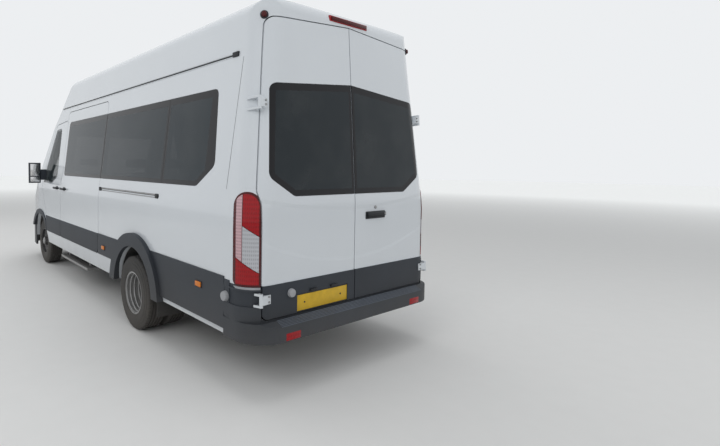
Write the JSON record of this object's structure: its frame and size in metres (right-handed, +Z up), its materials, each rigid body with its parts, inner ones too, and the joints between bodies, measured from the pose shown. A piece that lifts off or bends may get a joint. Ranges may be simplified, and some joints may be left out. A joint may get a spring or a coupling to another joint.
{
  "type": "minibus",
  "caption": "Long high-roof minibus with twin rear wheels, hinged front, rear and engine doors, a side sliding door, seats, and steered, turning wheels.",
  "frame": {"origin": "on the ground, halfway along the length and across the width", "axes": "+X forward, +Y to the left, +Z up"},
  "size_m": [6.7057, 2.474, 2.7739],
  "materials": {
    "white_paint": "satin, weathered",
    "underseal": "matt",
    "dark_plastic": "grained",
    "lamp": "clear",
    "tinted_glass": "tinted",
    "clear_glass": "clear",
    "bare_steel": "worn",
    "iron": "dirty",
    "cloth": "woven",
    "grip": "soft",
    "tyre": "dusty",
    "wheel_steel": "silver painted"
  },
  "bodies": {
    "body": {"floor_pan": "underseal", "roof_panel": "white_paint", "side_panel_left": "white_paint", "side_panel_right": "white_paint", "rear_frame": "white_paint", "front_frame": "white_paint", "front_wing_left": "white_paint", "front_wing_right": "white_paint", "front_bumper": "dark_plastic", "grille": "dark_plastic", "headlamps": "lamp", "windscreen": "clear_glass", "side_windows": "tinted_glass", "sliding_door": "white_paint", "lower_cladding": "dark_plastic", "rear_bumper": "dark_plastic", "tail_lamps": "lamp", "side_step": "bare_steel", "chassis_frame": "underseal", "front_crossmember": "iron", "front_arches": "underseal", "rear_axle": "iron", "engine_block": "iron", "fuel_tank": "dark_plastic", "exhaust": "bare_steel", "dashboard": "dark_plastic", "front_seats": "cloth", "passenger_seats": "cloth"},
    "bonnet": {"bonnet": "white_paint"},
    "steering_wheel": {"steering_wheel": "grip"},
    "front_door_left": {"front_door_left": "white_paint", "front_door_glass_left": "clear_glass", "mirror_left": "dark_plastic"},
    "rear_door_left": {"rear_door_left": "white_paint", "rear_door_glass_left": "tinted_glass"},
    "front_knuckle_left": {"front_knuckle_left": "iron"},
    "front_wheel_left": {"front_tyre_left": "tyre", "front_rim_left": "wheel_steel"},
    "rear_wheels_left": {"rear_tyres_left": "tyre", "rear_rims_left": "wheel_steel"},
    "front_door_right": {"front_door_right": "white_paint", "front_door_glass_right": "clear_glass", "mirror_right": "dark_plastic"},
    "rear_door_right": {"rear_door_right": "white_paint", "rear_door_glass_right": "tinted_glass"},
    "front_knuckle_right": {"front_knuckle_right": "iron"},
    "front_wheel_right": {"front_tyre_right": "tyre", "front_rim_right": "wheel_steel"},
    "rear_wheels_right": {"rear_tyres_right": "tyre", "rear_rims_right": "wheel_steel"}
  },
  "joints": [
    {"name": "front_door_hinge_left", "type": "hinge", "parent": "body", "child": "front_door_left", "pos_m": [2.215, 0.9975, 1.25], "axis": [0, 0.0523, -0.9986], "range_deg": [0, 70]},
    {"name": "rear_door_hinge_left", "type": "hinge", "parent": "body", "child": "rear_door_left", "pos_m": [-3.292, 0.935, 0.69], "axis": [-0.0608, 0.0281, -0.9978], "range_deg": [0, 160]},
    {"name": "steering_left", "type": "hinge", "parent": "body", "child": "front_knuckle_left", "pos_m": [2.329, 0.73, 0.3495], "axis": [0, 0, 1], "range_deg": [-35, 35]},
    {"name": "front_wheel_spin_left", "type": "hinge", "parent": "front_knuckle_left", "child": "front_wheel_left", "pos_m": [2.329, 0.866, 0.3495], "axis": [0, 1, 0], "continuous": true},
    {"name": "rear_wheel_spin_left", "type": "hinge", "parent": "body", "child": "rear_wheels_left", "pos_m": [-1.421, 0.942, 0.3495], "axis": [0, 1, 0], "continuous": true},
    {"name": "front_door_hinge_right", "type": "hinge", "parent": "body", "child": "front_door_right", "pos_m": [2.215, -0.9975, 1.25], "axis": [0, 0.0523, 0.9986], "range_deg": [0, 70]},
    {"name": "rear_door_hinge_right", "type": "hinge", "parent": "body", "child": "rear_door_right", "pos_m": [-3.292, -0.935, 0.69], "axis": [0.0608, 0.0281, 0.9978], "range_deg": [0, 160]},
    {"name": "steering_right", "type": "hinge", "parent": "body", "child": "front_knuckle_right", "pos_m": [2.329, -0.73, 0.3495], "axis": [0, 0, 1], "range_deg": [-35, 35]},
    {"name": "front_wheel_spin_right", "type": "hinge", "parent": "front_knuckle_right", "child": "front_wheel_right", "pos_m": [2.329, -0.866, 0.3495], "axis": [0, 1, 0], "continuous": true},
    {"name": "rear_wheel_spin_right", "type": "hinge", "parent": "body", "child": "rear_wheels_right", "pos_m": [-1.421, -0.942, 0.3495], "axis": [0, 1, 0], "continuous": true},
    {"name": "bonnet_hinge", "type": "hinge", "parent": "body", "child": "bonnet", "pos_m": [2.747, 0, 1.3], "axis": [0, -1, 0], "range_deg": [0, 50]},
    {"name": "steering_wheel_turn", "type": "hinge", "parent": "body", "child": "steering_wheel", "pos_m": [1.85, -0.47, 1.32], "axis": [-0.5736, 0, 0.8192], "range_deg": [-490, 490]}
  ],
  "couplings": [
    {"joint": "steering_right", "follows": "steering_left", "ratio": 1},
    {"joint": "steering_wheel_turn", "follows": "steering_left", "ratio": 14}
  ]
}
